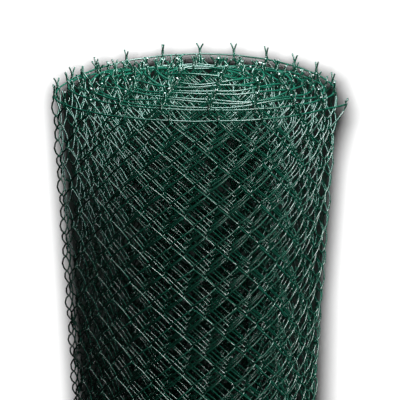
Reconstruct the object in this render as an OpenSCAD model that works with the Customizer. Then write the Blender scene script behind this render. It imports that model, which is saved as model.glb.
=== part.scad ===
// Roll of coated chain-link fencing, standing on its end.
// The wound mesh is a turned solid with its bore. The turns stand up on both ends,
// and the outermost turn has sprung loose and flares outward.

/* [Fence] */
// Width of the fencing from the floor to its line wire
edge_h = 985; // [600:5:2000]
// Width of one diamond of the mesh
diamond_w = 76; // [50:1:100]
// Thickness of the woven mesh
mesh_t = 8; // [6:0.5:12]
// Diameter of the line wire over its coating
line_wire_d = 3.1; // [2.4:0.1:4.5]
// Diameter of a mesh wire over its coating
mesh_wire_d = 2.8; // [2:0.1:4]

/* [Coil] */
// Radius of the bore in the middle of the roll
bore_r = 40; // [25:1:60]
// Radius of the wound coil on the floor
coil_r_low = 216; // [180:1:230]
// Radius of the wound coil at its top
coil_r_top = 235; // [200:1:250]
// Number of turns in the coil
coil_turns = 10.5; // [6.5:1:11.5]
// Spacing of the innermost turns
pitch_in = 17.5; // [12:0.5:20]
// Distance by which the outer turns of the coil sag to one side
coil_sag = 8; // [0:0.5:8]
// Depth to which the gaps between the turns show on the ends
gap_depth = 20; // [8:1:40]
// Rise of the innermost turn over the outermost one
core_rise = 28; // [0:1:40]
// Height at which the coil begins to flare
flare_from = 470; // [200:10:560]

/* [Loose turn] */
// Room between the coil and the loose turn at their tops
loose_gap = 7; // [5:1:50]
// Distance by which the loose turn sags to one side
loose_shift = 11.5; // [0:0.5:20]
// Height at which the loose turn begins to flare
loose_from = 390; // [150:10:540]
// Angle at which the free end leaves the round
end_angle = 40; // [20:1:60]
// Length of the straight free end
end_l = 112; // [40:1:160]
// Slope of the loose turn's upper edge, down in front
edge_tilt = 4.2; // [0:0.1:6]

/* [Barbs] */
// Distance by which the coil's diamonds lag behind those of the loose turn
coil_lag = 24; // [0:1:50]
// Height of the twisted stem of a barb
stem_h = 11; // [6:0.5:20]
// Length of a prong
prong_l = 14; // [8:0.5:25]
// Spread of each prong from upright
prong_angle = 32; // [15:1:50]

/* [Hidden] */
$fn = 96;
// air between parts that lie on each other
fit = 0.3;
// step between the coil's outside and the edge of its first turn
edge_in = 2;
// length on which the free end covers the end of the round
end_lap = 4;
// share of their width to which the diamonds of the free end are squeezed
end_squeeze = 0.85;
// height that the loose turn has in spare before its edge is cut to the slope
edge_spare = 100;
// the loose turn lies against the coil on the floor
loose_r = coil_r_top + loose_gap;
loose_flare = loose_r - coil_r_low;
half_turns = round(2 * coil_turns);
first_r = coil_r_top - edge_in - mesh_t / 2;
core_r = bore_r + mesh_t / 2;
pitch_out = 2 * (first_r - core_r) / coil_turns - pitch_in;
stem_r = 0.75 * mesh_wire_d;
// the line wire lies on the inner half of an edge, the stems on the outer half
wire_in = fit / 2 + line_wire_d / 2;
stem_out = fit / 2 + stem_r;
// share by which the coil is narrower on the floor than at its top
low_share = (coil_r_low - edge_in - mesh_t - bore_r) / (coil_r_top - edge_in - mesh_t - bore_r);

// radii in steps so fine that they don't show, which lets the arcs meet exactly
function snap(r) = round(r * 50) / 50;
// radius at which the middle of the mesh crosses the X axis, half turn by half turn
function coil_cross(t) =
    first_r - pitch_out * t + (pitch_out - pitch_in) / (2 * coil_turns) * t * t;
// the sag fades from the outermost turn to the innermost one
function sag(j) = j % 2 == 0 ? 0 : coil_sag * (1 - (j - 2) / half_turns);
function cross_r(j) = snap(
    j == 0 ? loose_r - loose_shift :
    j == 1 ? loose_r + loose_shift : coil_cross((j - 2) / 2) + sag(j));
function low_cross(j) = snap(core_r + (cross_r(j) - core_r) * low_share);
// an arc reaches from one crossing to the next, so all arcs meet without a kink
function arc_r(j) = (cross_r(j) + cross_r(j + 1)) / 2;
function arc_x(j) = (j % 2 == 0 ? 1 : -1) * (cross_r(j) - cross_r(j + 1)) / 2;
function low_r(j) = (low_cross(j) + low_cross(j + 1)) / 2;
function low_x(j) = (j % 2 == 0 ? 1 : -1) * (low_cross(j) - low_cross(j + 1)) / 2;
// height of the coil's edge at a radius
function edge_z(r) = edge_h + core_rise * (coil_r_top - r) / (coil_r_top - bore_r);
function coil_r(z) =
    coil_r_low + (coil_r_top - coil_r_low) * max(0, z - flare_from) / (edge_h - flare_from);
// height of the edge where a half turn begins
function start_z(j) = snap(edge_z(coil_cross((j - 2) / 2)));

// way from the front of turn i to its left side, and on round the back to its right side
function front_l(i) = PI / 2 * arc_r(2 * i);
function back_l(i) = front_l(i) + PI * arc_r(2 * i + 1);
// way once round from front to front, which holds a whole number of diamonds
function turn_l(i) = back_l(i) + PI / 2 * arc_r(2 * i + 2) + (i == 0 ? coil_lag : 0);
function turn_n(i) = round(turn_l(i) / diamond_w);
// angle that a length takes up on half turn j
function deg(l, j) = 180 * l / (PI * arc_r(j));

// half of a ring, in front for even turns and at the back for odd ones
module half_turn(j, x) translate([x, 0, 0]) rotate(j % 2 == 0 ? 180 : 0)
    rotate_extrude(angle = 180) children();

module band(r, z0, z1) translate([r - mesh_t / 2, z0]) square([mesh_t, z1 - z0]);

module coil_body() {
    top = edge_h - gap_depth;
    rotate_extrude() polygon([
        [bore_r, gap_depth], [coil_r_low, gap_depth], [coil_r_low, flare_from],
        [coil_r(top), top], [bore_r, top]]);
}

// each half turn of the edge stands a little higher than the one round it
module top_turns() for (j = [2 : half_turns + 1])
    half_turn(j, arc_x(j)) band(arc_r(j), edge_h - 2 * gap_depth, start_z(j));

module bottom_turns() for (j = [2 : half_turns + 1])
    half_turn(j, low_x(j)) band(low_r(j), 0, 2 * gap_depth);

// section through the loose turn, taller than the slope of its edge
module loose_wall(r, half = mesh_t / 2) {
    top = edge_h + edge_spare;
    low = r - loose_flare;
    wide = r + snap(edge_spare * loose_flare / (edge_h - loose_from));
    polygon([
        [low - half, 0], [low + half, 0], [low + half, loose_from],
        [wide + half, top], [wide - half, top], [low - half, loose_from]]);
}

// everything below the sloping edge of the loose turn
module below_edge(size = 1200) translate([0, 0, edge_h]) rotate([edge_tilt, 0, 0])
    translate([-size / 2, -size / 2, -2 * size]) cube([size, size, 2 * size]);

// places children at the start of the straight free end, with X outward and Y along it
module at_free_end() translate([arc_x(0), 0, 0]) rotate(-end_angle) children();

module loose_turn() intersection() {
    union() {
        translate([arc_x(0), 0, 0]) rotate(180)
            rotate_extrude(angle = 180 - end_angle) loose_wall(arc_r(0));
        half_turn(1, arc_x(1)) loose_wall(arc_r(1));
        at_free_end() translate([0, end_l, 0]) rotate([90, 0, 0])
            linear_extrude(end_l + end_lap) loose_wall(arc_r(0), mesh_t / 2 + fit);
    }
    below_edge();
}

module mesh_roll() color("SeaGreen") difference() {
    union() {
        coil_body();
        top_turns();
        bottom_turns();
        loose_turn();
    }
    translate([0, 0, -1]) cylinder(r = bore_r, h = edge_h + core_rise + 2);
}

// moves children onto the sloping edge of the loose turn
module on_edge() translate([0, 0, edge_h]) rotate([edge_tilt, 0, 0])
    translate([0, 0, fit]) children();

module wire_section(r) translate([r - wire_in, 0]) circle(d = line_wire_d, $fn = 24);

module top_line_wire() color("DarkGreen") {
    on_edge() translate([0, 0, line_wire_d / 2]) {
        translate([arc_x(0), 0, 0]) rotate(180)
            rotate_extrude(angle = 180 - end_angle) wire_section(arc_r(0));
        half_turn(1, arc_x(1)) wire_section(arc_r(1));
        at_free_end() translate([arc_r(0) - wire_in, end_l, 0]) rotate([90, 0, 0])
            cylinder(d = line_wire_d + fit, h = end_l + end_lap, $fn = 24);
    }
    // the wire comes down from the sloping edge where the coil begins
    translate([cross_r(2) - wire_in, 0, edge_h + fit + line_wire_d / 2]) rotate([90, 0, 0])
        cylinder(d = line_wire_d + 2 * fit, h = 2 * end_lap, center = true, $fn = 24);
    for (j = [2 : half_turns + 1])
        translate([0, 0, start_z(j) + fit + line_wire_d / 2])
            half_turn(j, arc_x(j)) wire_section(arc_r(j));
}

module barb() {
    cylinder(r = stem_r, h = stem_h, $fn = 24);
    for (s = [-1, 1]) translate([0, 0, stem_h - mesh_wire_d]) rotate([s * prong_angle, 0, 0])
        cylinder(d = mesh_wire_d, h = prong_l, $fn = 24);
}

// places children on the outer side of half turn j, at angle a about its middle
module on_turn(j, a) translate([arc_x(j), 0, 0]) rotate(-a)
    translate([arc_r(j) + stem_out, 0, 0]) children();

module barbs() color("MediumSeaGreen") {
    // in front of the free end, counted from the middle of the front
    step = deg(diamond_w, 0);
    on_edge() {
        for (a = [90 - step / 2 : -step : end_angle]) on_turn(0, a) barb();
        for (y = [end_l - 2 * stem_r : -end_squeeze * diamond_w : 2 * stem_r])
            at_free_end() translate([arc_r(0) + stem_out, y, 0]) barb();
    }
    // the way round each turn, from front to front
    for (i = [0 : floor(half_turns / 2)]) for (k = [0 : turn_n(i) - 1]) {
        l = (i == 0 ? 0 : coil_lag) + turn_l(i) * (k + 0.5) / turn_n(i);
        j = l < front_l(i) ? 2 * i : l < back_l(i) ? 2 * i + 1 : 2 * i + 2;
        a = l < front_l(i) ? 90 + deg(l, j) :
            l < back_l(i) ? 180 + deg(l - front_l(i), j) : 360 + deg(l - back_l(i), j);
        // a barb that reaches over two half turns stands on the higher one
        over = a < 360 && deg(2 * stem_r, j) > ceil(a / 180) * 180 - a;
        if (j < 2) on_edge() on_turn(j, a) barb();
        else if (j < half_turns + 2)
            translate([0, 0, start_z(over ? j + 1 : j)]) on_turn(j, a) barb();
    }
}

mesh_roll();
top_line_wire();
barbs();
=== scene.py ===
import math

import bpy
import numpy as np
from mathutils import Matrix, Vector


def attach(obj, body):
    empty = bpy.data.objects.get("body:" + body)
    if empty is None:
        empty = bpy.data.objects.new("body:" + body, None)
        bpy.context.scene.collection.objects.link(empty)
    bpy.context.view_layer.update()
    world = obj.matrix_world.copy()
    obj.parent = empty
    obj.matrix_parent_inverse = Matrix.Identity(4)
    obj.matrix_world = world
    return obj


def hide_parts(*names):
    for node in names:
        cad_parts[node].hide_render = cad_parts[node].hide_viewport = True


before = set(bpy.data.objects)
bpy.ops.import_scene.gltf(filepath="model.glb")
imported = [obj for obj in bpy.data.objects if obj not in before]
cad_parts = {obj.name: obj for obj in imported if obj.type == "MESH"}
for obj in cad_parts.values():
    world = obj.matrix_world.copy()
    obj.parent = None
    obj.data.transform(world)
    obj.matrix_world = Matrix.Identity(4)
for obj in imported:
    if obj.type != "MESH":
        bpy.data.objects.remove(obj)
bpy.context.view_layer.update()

mm = 0.001
rng = np.random.default_rng(20)
scene = bpy.context.scene

# the winding, in mm
winding = {
    # as in the CAD solids
    "coilTop": 235.0,       # radius of the wound coil at its top
    "coilLow": 216.0,       # and on the floor, with the loose turn wound on it
    "flareFrom": 470.0,     # height at which it begins to widen
    "boreRadius": 40.0,
    "meshThick": 8.0,
    "edgeStep": 2.0,        # the first turn's edge lies inside the coil's outside by this much
    "turns": 10.5,
    "pitchIn": 17.5,        # spacing of the innermost turns
    "coilSag": 8.0,         # the outer turns sag to the left by this much
    "edgeHeight": 985.0,    # floor to line wire on the outside of the coil
    "coreRise": 28.0,       # the middle of the coil stands up by this much
    "looseGap": 7.0,        # the loose turn stands off the coil by this much at its top
    "looseShift": 11.5,     # and sags to the left by this much
    "endAngle": 40.0,       # degrees from the right side, where the free end leaves the round
    "endLength": 112.0,
    # nearer to the photo than the solids
    "looseLow": 12.0,       # spacing of the loose turn on the floor
    "looseFrom": 380.0,     # height at which it springs off the coil
    "flarePower": 1.05,     # the higher, the later it does so on the way up
    "endPower": 4.5,        # added to that at the free end
    "endTight": (-150.0, 180.0),            # where that sets in along the mesh, and over what length
    "overEdge": 1.05,       # the barbs lean out with the flare up to this share of it
    "looseDrop": 15.4,      # the loose turn's edge lies lower in front
    "looseLift": 28.5,      # and higher at the back
    "liftPower": 1.5,       # above 1, so it rises on a shorter way than a sine
    "wobble": 1.5,          # unevenness of the winding
    "wobbleWaves": (97.0, 41.0, 170.0),     # length for one radian: slow, quick, and upward
    "edgeWave": 1.6,        # unevenness of the coil's upper edge
    "edgeWaves": [(47.0, 0.0), (29.0, 1.7), (71.0, 0.6)],   # length for one radian, and start
    "edgeCalm": 400.0,      # length over which it sets in
}

# the woven mesh, in mm
fabric = {
    "diamondWidth": 76.0,
    "rowHeight": 34.6,      # half the height of a diamond
    "rows": 28,
    "bottomRow": 12.2,      # height of the lowest joints
    "wireDiameter": 2.8,
    "legBow": 6.0,          # legs that rise to the right bow outward by this much, the others inward
    "bowPower": 0.6,        # below 1, so the bow is fuller than a sine
    "hook": 2.6,            # the corner of a bend lies past its joint by this much
    "bendCut": 1.1,         # and is rounded off by this much
    # the lower end, bent back over its neighbour: along and up from the lowest bend
    "knuckle": [(-9.5, -1.2), (-8.2, -6.6), (-3.8, -9.1), (-0.3, -5.6)],
    "knuckleSide": 0.25,    # it lies on the other side by this share of the bow
    "looseDiamonds": 21,    # once round the loose turn
    "endColumn": -9,        # the columns are counted from the front of the loose turn
    "endMargin": 4.0,       # from the last column to the end of the mesh
    # columns of the loose turn and the lengths in mm at which they lie, closer at the left and back
    "looseColumns": [(-5, -192), (0, 0), (7, 270), (13, 490), (21, 768), (29, 1026)],
    "coilLag": 27.0,        # the coil's diamonds lag behind the loose turn's
    "lagStep": 2.5,         # and less so from turn to turn inward
    "evenColumns": 8,       # columns beside the front of each turn that keep their full width
    "unevenness": 0.7,
    "unevenMost": 1.6,
    "settleRows": 12,       # rows that take up the slope of the upper edge
}


def windingCrossings():
    firstRadius = winding["coilTop"] - winding["edgeStep"] - winding["meshThick"] / 2
    lastRadius = winding["boreRadius"] + winding["meshThick"] / 2
    turns = winding["turns"]
    pitchOut = 2 * (firstRadius - lastRadius) / turns - winding["pitchIn"]
    t = np.arange(round(2 * turns) + 1) / 2
    coil = firstRadius - pitchOut * t + (pitchOut - winding["pitchIn"]) / (2 * turns) * t ** 2
    coil[1::2] += winding["coilSag"] * (1 - t[1::2] / turns)
    looseRadius = winding["coilTop"] + winding["looseGap"]
    loose = [looseRadius - winding["looseShift"], looseRadius + winding["looseShift"]]
    return np.concatenate([loose, coil])


# half turns between the crossings of the X axis: radius, middle, length, and length before each
crossing = windingCrossings()
coreRadius = crossing[-1]
arcRadius = (crossing[:-1] + crossing[1:]) / 2
arcSide = np.where(np.arange(len(arcRadius)) % 2 == 0, 1.0, -1.0)
arcMiddle = arcSide * (crossing[:-1] - crossing[1:]) / 2
arcLength = math.pi * arcRadius
arcStart = np.concatenate([[0.0], np.cumsum(arcLength)]) - arcLength[0] / 2
windingEnd = arcStart[-1]
endStart = -arcRadius[0] * math.radians(90 - winding["endAngle"])
lowShare = (winding["coilLow"] - winding["looseLow"] - coreRadius) / (crossing[2] - coreRadius)


def halfTurnReach(j, angle):
    # distance of half turn j from the axis
    x = arcMiddle[j]
    return x * np.cos(angle) + np.sqrt(arcRadius[j] ** 2 - (x * np.sin(angle)) ** 2)


def smoothStep(t):
    t = np.clip(t, 0, 1)
    return t * t * (3 - 2 * t)


def edgeOffset(s):
    # height of the upper edge along the winding, against the outside of the coil
    back = np.clip((s - arcStart[1]) / arcLength[1], 0, 1)
    loose = winding["looseDrop"] * (smoothStep(back) - 1)
    loose = loose + winding["looseLift"] * np.sin(math.pi * back) ** winding["liftPower"]
    inward = np.clip((s - arcStart[2]) / (windingEnd - arcStart[2]), 0, 1)
    radius = np.interp(s, arcStart[2:], crossing[2:])
    rise = winding["coreRise"] * (crossing[2] - radius) / (crossing[2] - coreRadius)
    wave = sum(np.sin(s / length + start) for length, start in winding["edgeWaves"])
    setIn = np.clip((s - arcStart[3]) / winding["edgeCalm"], 0, 1)
    rise = rise + winding["edgeWave"] * (1 + inward) * wave * setIn
    return np.where(inward > 0, rise, loose)


def flareShare(z, start, edge):
    # 0 below the height at which a flare starts, 1 at the upper edge
    return np.clip((z - start) / (edge - start), 0, winding["overEdge"])


def rolledUp(s, z, n):
    # from the flat mesh (length along it, height, side) to the place on the roll, in metres
    j = np.clip(np.searchsorted(arcStart, s, side="right") - 1, 0, len(arcRadius) - 1)
    turn = math.pi * (j % 2) + (s - arcStart[j]) / arcRadius[j]
    past = np.clip(endStart - s, 0, None)
    turn = np.where(past > 0, math.radians(winding["endAngle"]), turn)
    x = arcMiddle[j] + arcRadius[j] * np.cos(turn) + past * np.sin(turn)
    y = -arcRadius[j] * np.sin(turn) + past * np.cos(turn)
    fromAxis = np.hypot(x, y)
    angle = np.arctan2(-y, x)
    edge = winding["edgeHeight"] + edgeOffset(s)

    # the coil is tight below and opens upward
    opening = flareShare(z, winding["flareFrom"], edge)
    coil = coreRadius + (fromAxis - coreRadius) * (lowShare + (1 - lowShare) * opening)

    # the loose turn lies on the next one below, and its free end only springs off at the top
    nextTurn = halfTurnReach(np.minimum(j + 2, len(arcRadius) - 1), angle)
    along = np.clip(s / arcStart[2], 0, 1)
    tightPitch = (crossing[2] - crossing[4]) * lowShare
    spacing = winding["looseLow"] + (tightPitch - winding["looseLow"]) * along
    low = coreRadius + (nextTurn - coreRadius) * lowShare + spacing
    tightFrom, tightOver = winding["endTight"]
    freeEnd = smoothStep((tightFrom - s) / tightOver)
    flare = flareShare(z, winding["looseFrom"], edge)
    flarePower = winding["flarePower"] + winding["endPower"] * freeEnd
    loose = low + (fromAxis - low) * flare ** flarePower
    radius = np.where(s < arcStart[2], loose, coil)

    # a slow wave and a weaker quick one, together 1.8 at most
    slow, quick, upward = winding["wobbleWaves"]
    wave = np.sin(s / slow + 1.3) + 0.8 * np.sin(s / quick + z / upward)
    radius = radius + winding["wobble"] * wave / 1.8
    x = x * radius / fromAxis + n * np.cos(turn)
    y = y * radius / fromAxis - n * np.sin(turn)
    return np.stack([x, y, z], -1) * mm


# the mesh has a joint at every second crossing of its columns and rows
turnCount = len(arcRadius) // 2
turnFront = [0.0]
for j in range(2, len(arcRadius), 2):
    lag = fabric["coilLag"] - fabric["lagStep"] * (j // 2 - 1)
    turnFront.append(arcStart[j] + arcLength[j] / 2 + lag)
turnFront = np.array(turnFront)
diamonds = np.round(np.diff(turnFront) / fabric["diamondWidth"]).astype(int)
diamonds[0] = fabric["looseDiamonds"]
turnColumn = np.concatenate([[0], np.cumsum(2 * diamonds)])
halfWidth = fabric["diamondWidth"] / 2
firstColumn = fabric["endColumn"]
lastColumn = turnColumn[-1] + int((windingEnd - turnFront[-1]) / halfWidth)
columns = np.arange(firstColumn, lastColumn + 1)

# lengths along the mesh at which some columns lie, with the others spread evenly in between
knots = [(firstColumn, endStart - winding["endLength"] + fabric["endMargin"])] + fabric["looseColumns"]
for i in range(1, len(turnFront)):
    even = min(fabric["evenColumns"], diamonds[i - 1] // 2)
    for k in (-even, even):
        knots.append((turnColumn[i] + k, turnFront[i] + k * halfWidth))
if lastColumn > knots[-1][0]:
    knots.append((lastColumn, turnFront[-1] + (lastColumn - turnColumn[-1]) * halfWidth))
columnLength = np.interp(columns, *np.array(knots, float).T)
rows = fabric["rows"]
rowIndex = np.arange(rows + 1)
settle = smoothStep(rowIndex / fabric["settleRows"])
jointLength = np.repeat(columnLength[:, None], rows + 1, 1)
jointHeight = (fabric["bottomRow"] + fabric["rowHeight"] * rowIndex)[None] + (
    edgeOffset(columnLength)[:, None] * settle[None])
jointSide = np.zeros_like(jointLength)
for joints in (jointLength, jointHeight, jointSide):
    uneven = rng.normal(0, fabric["unevenness"], joints.shape)
    joints += np.clip(uneven, -fabric["unevenMost"], fabric["unevenMost"])
print("mesh:", len(columns), "columns,", list(diamonds), "diamonds a turn")

# twisted ends along the top, in mm from the uppermost joint
barb = {
    "startRise": 1.2,       # the two ends leave the joint here, one on each side of the mesh
    "startSide": 2.5,
    "startShift": 0.52,
    "wireLevel": 4.0,       # the line wire passes between them here
    "wireSide": 3.05,
    "closeRise": 6.2,       # and they close again here
    "closeSide": 2.0,
    "twistFrom": 7.0,
    "twistTo": 14.0,
    "twistTurns": 1.25,
    "twistSteps": 6,
    "twistRadius": 1.42,
    "prongRise": 24.5,
    "prongSpread": 6.8,
    "prongPoints": (0.3, 0.62, 1.0),
    "prongPower": 0.85,     # below 1, so a prong rises first and then spreads
    # angles, and shares of the prongs' spread and rise, of the loose turn's barbs and the coil's
    "looseYaw": 0.6,
    "coilYaw": 1.5,
    "edgeOn": (15, 19),     # columns of the loose turn on which the V is seen edge-on
    "edgeOnYaw": 1.3,
    "looseSpread": (0.8, 1.15),
    "coilSpread": (0.5, 1.4),
    "looseRise": (0.93, 1.06),
    "coilRise": (0.75, 1.06),
    "endRise": 0.56,        # the last wire of the free end was cut short
    "looseLean": 0.08,
    "coilLean": 0.32,       # the coil's were knocked aside
}
spare = len(columns) + 1
inCoil = np.arange(spare) + firstColumn > turnColumn[1]
looseYaw = np.clip(rng.normal(0, barb["looseYaw"] / 2, spare), -barb["looseYaw"], barb["looseYaw"])
barbYaw = np.where(inCoil, rng.uniform(-barb["coilYaw"], barb["coilYaw"], spare), looseYaw)
edgeFrom, edgeTo = barb["edgeOn"]
barbYaw[edgeFrom - firstColumn:edgeTo - firstColumn + 1] += barb["edgeOnYaw"]
barbSpread = np.where(
    inCoil, rng.uniform(*barb["coilSpread"], spare), rng.uniform(*barb["looseSpread"], spare))
barbRise = np.where(
    inCoil, rng.uniform(*barb["coilRise"], spare), rng.uniform(*barb["looseRise"], spare))
barbRise[0] = barb["endRise"]
mostLean = np.where(inCoil, barb["coilLean"], barb["looseLean"])
leanAlong = rng.normal(0, 0.5, spare).clip(-1, 1) * mostLean
leanOut = rng.normal(0, 0.5, spare).clip(-1, 1) * mostLean


def legShare(place, legLength):
    # share of a leg at a place on it: mm from its lower end, a share, or mm before its upper end
    if place < 0:
        return 1 + place / legLength
    if place < 1:
        return np.full_like(legLength, place)
    return place / legLength


def picketPath(pickets, legPlaces):
    # zigzag wires from the hook on the floor to the prong, in flat mesh coordinates
    at = pickets - firstColumn
    level = np.arange(rows + 1)
    onLeft = (pickets[:, None] + level[None] + rows + 1) % 2     # 1 where the bend is on the left side
    column = at[:, None] + onLeft
    joint = np.stack([
        jointLength[column, level], jointHeight[column, level], jointSide[column, level]], -1)
    bendSide = np.where(onLeft == 1, 1.0, -1.0)
    tip = joint.copy()
    tip[..., 0] += bendSide * fabric["hook"]
    leg = tip[:, 1:] - tip[:, :-1]
    legLength = np.linalg.norm(leg[..., :2], axis=-1)
    bow = bendSide[:, :-1] * fabric["legBow"]

    path = []
    zero = np.zeros(len(pickets))
    for along, up in fabric["knuckle"]:
        path.append(tip[:, 0] + np.stack([
            bendSide[:, 0] * along, zero + up, -fabric["knuckleSide"] * bow[:, 0]], -1))
    for h in range(rows):
        apex = tip[:, h].copy()
        apex[:, 0] -= bendSide[:, h] * fabric["bendCut"]
        path.append(apex)
        for place in legPlaces:
            t = legShare(place, legLength[:, h])
            point = tip[:, h] + leg[:, h] * t[:, None]
            point[:, 2] += bow[:, h] * np.sin(math.pi * t) ** fabric["bowPower"]
            path.append(point)

    # past the line wire, twisted stem and prong
    top = joint[:, -1]
    topColumn = column[:, -1]
    front = bendSide[:, -2]

    def rise(along, up, out):
        over = np.clip(up - barb["wireLevel"], 0, None)
        path.append(top + np.stack([
            along + over * leanAlong[topColumn], zero + up, out + over * leanOut[topColumn]], -1))

    rise(barb["startShift"] * bendSide[:, -1], barb["startRise"], front * barb["startSide"])
    rise(zero, barb["wireLevel"], front * barb["wireSide"])
    rise(zero, barb["closeRise"], front * barb["closeSide"])
    radius = barb["twistRadius"]
    for k in range(barb["twistSteps"] + 1):
        part = k / barb["twistSteps"]
        phi = front * math.pi / 2 + (barbYaw[topColumn] + 2 * math.pi * barb["twistTurns"]) * part
        up = barb["twistFrom"] + (barb["twistTo"] - barb["twistFrom"]) * part
        rise(radius * np.cos(phi), up, radius * np.sin(phi))
    for part in barb["prongPoints"]:
        spread = radius + (barb["prongSpread"] * barbSpread[at] - radius) * part
        prongRise = barb["prongRise"] * barbRise[at] - barb["twistTo"]
        up = barb["twistTo"] + prongRise * part ** barb["prongPower"]
        rise(spread * np.cos(phi), up, spread * np.sin(phi))
    return np.stack(path, 1)


def hexColor(text):
    # sRGB hex to linear
    values = [int(text[i:i + 2], 16) / 255 for i in (1, 3, 5)]
    linear = [v / 12.92 if v <= 0.04045 else ((v + 0.055) / 1.055) ** 2.4 for v in values]
    return (*linear, 1.0)


def addNode(tree, kind, links=None, **settings):
    # links gives inputs, by name or number, a socket to link or a plain value
    node = tree.nodes.new(kind)
    for key, value in settings.items():
        setattr(node, key, value)
    for name, value in (links or {}).items():
        if isinstance(value, bpy.types.NodeSocket):
            tree.links.new(value, node.inputs[name])
        else:
            node.inputs[name].default_value = value
    return node


def startMaterial(name):
    material = bpy.data.materials.new(name)
    material.use_nodes = True
    material.node_tree.nodes.clear()
    return material, material.node_tree


def meshObject(name, points, faces):
    mesh = bpy.data.meshes.new(name)
    mesh.from_pydata(points, [], faces)
    made = bpy.data.objects.new(name, mesh)
    scene.collection.objects.link(made)
    return made


def wireMesh(name, paths, diameter, sides, materials):
    # round tubes along all paths (wires, points, xyz) as one mesh
    wires, points, _ = paths.shape
    tangent = np.empty_like(paths)
    tangent[:, 1:-1] = paths[:, 2:] - paths[:, :-2]
    tangent[:, 0] = paths[:, 1] - paths[:, 0]
    tangent[:, -1] = paths[:, -1] - paths[:, -2]
    tangent /= np.linalg.norm(tangent, axis=-1, keepdims=True)
    normal = np.empty_like(paths)
    guess = np.cross(tangent[:, 0], np.array([0.3, 0.5, 0.8]))   # a direction that no wire starts in
    normal[:, 0] = guess / np.linalg.norm(guess, axis=-1, keepdims=True)
    for k in range(1, points):
        carried = normal[:, k - 1]
        carried = carried - tangent[:, k] * np.sum(carried * tangent[:, k], -1, keepdims=True)
        normal[:, k] = carried / np.linalg.norm(carried, axis=-1, keepdims=True)
    across = np.cross(tangent, normal)
    turn = 2 * math.pi * np.arange(sides) / sides
    ring = normal[:, :, None] * np.cos(turn)[:, None] + across[:, :, None] * np.sin(turn)[:, None]
    coords = paths[:, :, None] + ring * (diameter / 2)
    first = (np.arange(wires)[:, None, None] * points + np.arange(points - 1)[None, :, None]) * sides
    a = first + np.arange(sides)
    b = first + (np.arange(sides) + 1) % sides
    quads = np.stack([a, b, b + sides, a + sides], -1).reshape(-1, 4)
    base = np.arange(wires)[:, None] * points * sides
    startCaps = base + np.arange(sides)[::-1]
    endCaps = base + (points - 1) * sides + np.arange(sides)
    caps = np.concatenate([startCaps, endCaps])
    piece = meshObject(name, coords.reshape(-1, 3), quads.tolist() + caps.tolist())

    # smooth jacket, flat caps in the last material, and a tone for each wire
    mesh = piece.data
    isCap = np.arange(len(mesh.polygons)) >= len(quads)
    mesh.polygons.foreach_set("use_smooth", ~isCap)
    for material in materials:
        mesh.materials.append(material)
    mesh.polygons.foreach_set("material_index", np.where(isCap, len(materials) - 1, 0).astype(np.int32))
    tone = np.repeat(rng.uniform(0, 1, wires), points * sides)
    mesh.attributes.new("wireTone", "FLOAT", "POINT").data.foreach_set("value", tone)
    mesh.update()
    print(name + ":", wires, "wires,", 2 * len(quads), "triangles")
    return piece


# PVC, extruded over the wire: a smooth dark moss green jacket with a soft gloss, a little
# duller where it was handled
pvcJacket = {
    "darkColor": "#105541",
    "mainColor": "#186B55",
    "toneRange": (0.35, 1.55),      # from dark to main, by each wire's tone and the handling
    "roughness": (0.2, 0.32),       # as extruded, and handled
    "ior": 1.53,
    "gloss": 1.0,           # 0.5 is the plain one of its refraction
    "coat": 0.3,            # slick skin that the die leaves
    "coatRoughness": 0.16,
    "handledSize": 60.0,    # mm
    "handledRange": (0.3, 0.7),
    "grainSize": 2.5,       # mm, drawn coarser than the real one, which is too fine to show
    "grainDepth": 0.012,    # mm
    "grainStrength": 0.35,
}

# steel core, sheared: a bright grey disc on each cut end
shearedSteel = {
    "color": "#9AA09C",
    "roughness": (0.35, 0.55),
    "scratchSize": 0.8,     # mm, drawn coarser than the real one, which is too fine to show
}


def extrudedPvc(name):
    material, tree = startMaterial(name)
    place = addNode(tree, "ShaderNodeTexCoord").outputs["Object"]
    handled = addNode(tree, "ShaderNodeTexNoise", {
        "Vector": place, "Scale": 1 / (pvcJacket["handledSize"] * mm), "Detail": 3.0})
    grain = addNode(tree, "ShaderNodeTexNoise", {
        "Vector": place, "Scale": 1 / (pvcJacket["grainSize"] * mm), "Detail": 2.0})
    tone = addNode(tree, "ShaderNodeAttribute", attribute_name="wireTone")
    mixed = addNode(tree, "ShaderNodeMath", {
        0: tone.outputs["Fac"], 1: handled.outputs["Fac"]}, operation="ADD")
    share = addNode(tree, "ShaderNodeMapRange", {
        "Value": mixed.outputs[0],
        "From Min": pvcJacket["toneRange"][0], "From Max": pvcJacket["toneRange"][1]})
    color = addNode(tree, "ShaderNodeMix", {
        0: share.outputs[0], 6: hexColor(pvcJacket["darkColor"]), 7: hexColor(pvcJacket["mainColor"])},
        data_type="RGBA")
    dull = addNode(tree, "ShaderNodeMapRange", {
        "Value": handled.outputs["Fac"],
        "From Min": pvcJacket["handledRange"][0], "From Max": pvcJacket["handledRange"][1],
        "To Min": pvcJacket["roughness"][0], "To Max": pvcJacket["roughness"][1]})
    bump = addNode(tree, "ShaderNodeBump", {
        "Height": grain.outputs["Fac"], "Strength": pvcJacket["grainStrength"],
        "Distance": pvcJacket["grainDepth"] * mm})
    shader = addNode(tree, "ShaderNodeBsdfPrincipled", {
        "Base Color": color.outputs[2], "Roughness": dull.outputs[0], "Normal": bump.outputs[0],
        "IOR": pvcJacket["ior"], "Specular IOR Level": pvcJacket["gloss"],
        "Coat Weight": pvcJacket["coat"], "Coat Roughness": pvcJacket["coatRoughness"]})
    addNode(tree, "ShaderNodeOutputMaterial", {"Surface": shader.outputs[0]})
    return material


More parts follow.
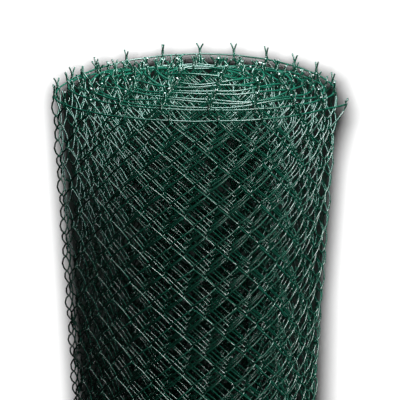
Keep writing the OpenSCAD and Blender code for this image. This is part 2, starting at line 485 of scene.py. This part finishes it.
def cutSteelEnds(name):
    material, tree = startMaterial(name)
    place = addNode(tree, "ShaderNodeTexCoord").outputs["Object"]
    shear = addNode(tree, "ShaderNodeTexNoise", {
        "Vector": place, "Scale": 1 / (shearedSteel["scratchSize"] * mm), "Detail": 2.0})
    dull = addNode(tree, "ShaderNodeMapRange", {
        "Value": shear.outputs["Fac"],
        "To Min": shearedSteel["roughness"][0], "To Max": shearedSteel["roughness"][1]})
    shader = addNode(tree, "ShaderNodeBsdfPrincipled", {
        "Base Color": hexColor(shearedSteel["color"]), "Metallic": 1.0, "Roughness": dull.outputs[0]})
    addNode(tree, "ShaderNodeOutputMaterial", {"Surface": shader.outputs[0]})
    return material


meshPvc = extrudedPvc("extrudedMossGreenPvc")
linePvc = extrudedPvc("extrudedMossGreenPvcLineWire")
steelEnds = cutSteelEnds("shearedSteelCore")
print("materials: PVC jackets and sheared steel")

# points on a leg: mm from its lower end, share of its length, or mm before its upper end
fineLeg = (2.8, 10.0, 0.5, -10.0, -2.8)
plainLeg = (3.2, 0.5, -3.2)

# groups of turns, from the loose one inward: first and last turn, points on a leg, sides of the wire
layers = {
    "looseTurnMesh": (0, 0, fineLeg, 8),
    "outerCoilMesh": (1, 2, fineLeg, 6),
    "middleCoilMesh": (3, 5, plainLeg, 6),
    "innerCoilMesh": (6, turnCount, plainLeg, 5),
}
for name, (fromTurn, toTurn, legPlaces, sides) in layers.items():
    fromColumn = firstColumn if fromTurn == 0 else turnColumn[fromTurn]
    toColumn = turnColumn[toTurn + 1] if toTurn + 1 < len(turnColumn) else lastColumn
    flat = picketPath(np.arange(fromColumn, toColumn), legPlaces)
    paths = rolledUp(flat[..., 0], flat[..., 1], flat[..., 2])
    piece = wireMesh(name, paths, fabric["wireDiameter"] * mm, sides, [meshPvc, steelEnds])
    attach(piece, "root")
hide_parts("barbs")
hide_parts("mesh_roll")

# one line wire woven in along the whole upper edge, in mm
topWire = {
    "diameter": 3.1,
    "sides": 8,
    "stepsPerColumn": 4,
    "sag": 0.8,             # between two barbs
    "weave": 0.5,           # to either side
    # its free end: before the last column, above the edge and to the outer side
    "freeEnd": [(-4.0, 2.0, 1.5), (-2.0, 0.6, 0.5)],
}
steps = np.arange((lastColumn - firstColumn) * topWire["stepsPerColumn"] + 1)
wireColumn = firstColumn + steps / topWire["stepsPerColumn"]
wireS = np.interp(wireColumn, columns, columnLength)
wireZ = winding["edgeHeight"] + edgeOffset(wireS) + np.interp(
    wireColumn, columns, np.where(columns % 2 == 1, 0.0, -topWire["sag"]))
wireN = topWire["weave"] * np.cos(math.pi * (wireColumn + 0.5))
endS, endZ, endN = np.array(topWire["freeEnd"]).T
wireS = np.concatenate([wireS[0] + endS, wireS])
wireZ = np.concatenate([wireZ[0] + endZ, wireZ])
wireN = np.concatenate([endN, wireN])
linePath = rolledUp(wireS, wireZ, wireN)[None]
lineWire = wireMesh(
    "topLineWire", linePath, topWire["diameter"] * mm, topWire["sides"], [linePvc, steelEnds])
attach(lineWire, "root")
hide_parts("top_line_wire")


def hideFrom(thing, *rays):
    for ray in rays:
        setattr(thing, "visible_" + ray, False)


def lightFrom(direction):
    # rotation of a lamp whose light comes from a direction
    return Vector(direction).to_track_quat("Z", "Y").to_euler()


allButShadow = ("camera", "diffuse", "glossy", "transmission", "volume_scatter")

# pale matt floor, in metres
paleFloor = {
    "reach": 14.0,
    "color": "#E4E4E4",
}
far = paleFloor["reach"]
floor = meshObject(
    "paleFloor", [(-far, -far, 0), (far, -far, 0), (far, far, 0), (-far, far, 0)], [(0, 1, 2, 3)])
floorPaint, floorTree = startMaterial("mattPaintedFloor")
floorShader = addNode(floorTree, "ShaderNodeBsdfDiffuse", {"Color": hexColor(paleFloor["color"])})
addNode(floorTree, "ShaderNodeOutputMaterial", {"Surface": floorShader.outputs[0]})
floor.data.materials.append(floorPaint)
hideFrom(floor, "diffuse", "glossy")             # throws no light back on the wires

# pale card close behind the roll, open from behind; only its own lamp throws a shadow on it; in metres
backdrop = {
    "place": 0.9,
    "size": (0.98, 1.06),
    "color": "#F2F2F2",
    "lampPlace": (-0.028, -3.03, 1.475),
    "lampAim": 0.8,         # height on the card
    "lampSize": 0.202,      # the larger, the softer the rim of the shadow
    "lampPower": 232.0,
}
wide, tall = backdrop["size"]
wall = meshObject(
    "paleBackdrop",
    [(x, backdrop["place"], z) for x, z in (
        (-wide / 2, 0), (wide / 2, 0), (wide / 2, tall), (-wide / 2, tall))], [(0, 1, 2, 3)])
wallPaint, wallTree = startMaterial("mattPaintedBackdrop")
paint = addNode(wallTree, "ShaderNodeBsdfDiffuse", {"Color": hexColor(backdrop["color"])})
clear = addNode(wallTree, "ShaderNodeBsdfTransparent")
facing = addNode(wallTree, "ShaderNodeNewGeometry")
oneSided = addNode(wallTree, "ShaderNodeMixShader", {
    0: facing.outputs["Backfacing"], 1: paint.outputs[0], 2: clear.outputs[0]})
addNode(wallTree, "ShaderNodeOutputMaterial", {"Surface": oneSided.outputs[0]})
wall.data.materials.append(wallPaint)
hideFrom(wall, "shadow", "diffuse", "glossy")
wallLight = bpy.data.lights.new("backdropLight", "AREA")
wallLight.shape = "DISK"
wallLight.size = backdrop["lampSize"]
wallLight.energy = backdrop["lampPower"]
wallLamp = bpy.data.objects.new("backdropLight", wallLight)
wallLamp.location = backdrop["lampPlace"]
wallLamp.rotation_euler = lightFrom(
    Vector(backdrop["lampPlace"]) - Vector((0, backdrop["place"], backdrop["lampAim"])))
hideFrom(wallLamp, "camera")
scene.collection.objects.link(wallLamp)
litWall = bpy.data.collections.new("litWall")
litWall.objects.link(wall)
wallLamp.light_linking.receiver_collection = litWall

# a closed sheet in the loose turn, seen only by the backdrop's lamp, makes its shadow a full one; in mm
fullShadow = {
    "columns": 97,
    "rows": 25,
    "below": 6.0,           # the upper edge
    "outward": 9.0,         # from the middle of the mesh
}
sheetRows = fullShadow["rows"]
sheetS = np.linspace(endStart - winding["endLength"], arcStart[2], fullShadow["columns"])
sheetTop = winding["edgeHeight"] - fullShadow["below"] + edgeOffset(sheetS)
sheetZ = np.linspace(0, 1, sheetRows)[None] * sheetTop[:, None]
sheetN = np.full_like(sheetZ, fullShadow["outward"])
sheetPoints = rolledUp(np.repeat(sheetS[:, None], sheetRows, 1), sheetZ, sheetN)
corner = np.arange(len(sheetS) - 1)[:, None] * sheetRows + np.arange(sheetRows - 1)[None]
sheetFaces = np.stack([corner, corner + sheetRows, corner + sheetRows + 1, corner + 1], -1)
shadowSheet = meshObject("shadowSheet", sheetPoints.reshape(-1, 3), sheetFaces.reshape(-1, 4).tolist())
hideFrom(shadowSheet, *allButShadow)

# an unseen drum with two wings in the middle of the roll keeps the lamps from shining through to
# its far side; in metres
innerShade = {
    "radius": 0.13,
    "height": 0.935,
    "sides": 48,
    "wing": 0.205,          # from the axis
}
drumSides = innerShade["sides"]
drumTurn = 2 * math.pi * np.arange(drumSides) / drumSides
drumRing = np.stack([np.cos(drumTurn), np.sin(drumTurn)], -1) * innerShade["radius"]
drumPoints = [(x, y, z) for z in (0.0, innerShade["height"]) for x, y in drumRing]
drumFaces = [tuple(range(drumSides, 2 * drumSides))]
for i in range(drumSides):
    k = (i + 1) % drumSides
    drumFaces.append((i, k, k + drumSides, i + drumSides))
for side in (-1, 1):
    first = len(drumPoints)
    for x, z in ((innerShade["radius"], 0.0), (innerShade["wing"], 0.0),
                 (innerShade["wing"], innerShade["height"]), (innerShade["radius"], innerShade["height"])):
        drumPoints.append((side * x, 0.0, z))
    drumFaces.append(tuple(range(first, first + 4)))
drum = meshObject("innerShade", drumPoints, drumFaces)
hideFrom(drum, *allButShadow)
print("stage: floor, backdrop and shades in place")

studio = {
    "sky": 0.01,            # for the object; the camera sees a pale one
    "skyColor": "#EEEEEE",
    # soft suns: strength, angle across in degrees, direction that the light comes from
    "sideLight": (2.75, 24.0, (0.58, -0.36, 0.73)),     # main light, from the right
    "backLight": (1.4, 24.0, (0.12, 0.8, 0.55)),        # gives no glints, so the gaps in front stay dark
    "frontLight": (0.85, 20.0, (-0.15, -0.75, 0.64)),   # gives nothing but glints
    # wide light close overhead, in metres
    "overheadPower": 3.1,
    "overheadSize": (0.5, 0.4),
    "overheadPlace": (0.03, 0.03, 1.5),
    "overheadAim": (0.0, 0.0, 0.9),
    "overheadSpread": 110.0,
    "overheadColor": "#EEFAFF",
    "cameraPlace": (0.0, -3.408, 1.5586),
    "cameraPitch": 0.2232,  # down
    "cameraRoll": 0.0131,
    "lens": 180.2,
}
world = bpy.data.worlds.new("studioWorld")
scene.world = world
world.use_nodes = True
worldTree = world.node_tree
worldTree.nodes.clear()
lightPath = addNode(worldTree, "ShaderNodeLightPath")
skyLevel = addNode(worldTree, "ShaderNodeMapRange", {
    "Value": lightPath.outputs["Is Camera Ray"], "To Min": studio["sky"], "To Max": 1.0})
sky = addNode(worldTree, "ShaderNodeBackground", {
    "Color": hexColor(studio["skyColor"]), "Strength": skyLevel.outputs[0]})
addNode(worldTree, "ShaderNodeOutputWorld", {"Surface": sky.outputs[0]})

lamps = {}
for name in ("sideLight", "backLight", "frontLight"):
    strength, angle, direction = studio[name]
    sun = bpy.data.lights.new(name, "SUN")
    sun.energy = strength
    sun.angle = math.radians(angle)
    lamps[name] = bpy.data.objects.new(name, sun)
    lamps[name].rotation_euler = lightFrom(direction)
hideFrom(lamps["backLight"], "glossy")
hideFrom(lamps["frontLight"], "diffuse")
overheadLight = bpy.data.lights.new("overheadLight", "AREA")
overheadLight.shape = "RECTANGLE"
overheadLight.energy = studio["overheadPower"]
overheadLight.size, overheadLight.size_y = studio["overheadSize"]
overheadLight.spread = math.radians(studio["overheadSpread"])
overheadLight.color = hexColor(studio["overheadColor"])[:3]
overheadLamp = bpy.data.objects.new("overheadLight", overheadLight)
overheadLamp.location = studio["overheadPlace"]
overheadLamp.rotation_euler = lightFrom(
    Vector(studio["overheadPlace"]) - Vector(studio["overheadAim"]))
hideFrom(overheadLamp, "camera")
lamps["overheadLight"] = overheadLamp

# these lamps leave the card and the sheet out
backdropSet = bpy.data.collections.new("backdropSet")
backdropSet.objects.link(wall)
backdropSet.objects.link(shadowSheet)
for member in backdropSet.collection_objects:
    member.light_linking.link_state = "EXCLUDE"
for lamp in lamps.values():
    lamp.light_linking.receiver_collection = backdropSet
    lamp.light_linking.blocker_collection = backdropSet
    scene.collection.objects.link(lamp)

camera = bpy.data.cameras.new("photoCamera")
camera.lens = studio["lens"]
camera.sensor_width = 36.0
camera.clip_end = 100.0
cameraRig = bpy.data.objects.new("photoCamera", camera)
cameraRig.matrix_world = (
    Matrix.Translation(studio["cameraPlace"])
    @ Matrix.Rotation(math.pi / 2 - studio["cameraPitch"], 4, "X")
    @ Matrix.Rotation(studio["cameraRoll"], 4, "Z"))
scene.collection.objects.link(cameraRig)
scene.camera = cameraRig
scene.view_settings.view_transform = "Standard"
print("studio: camera and light in place")
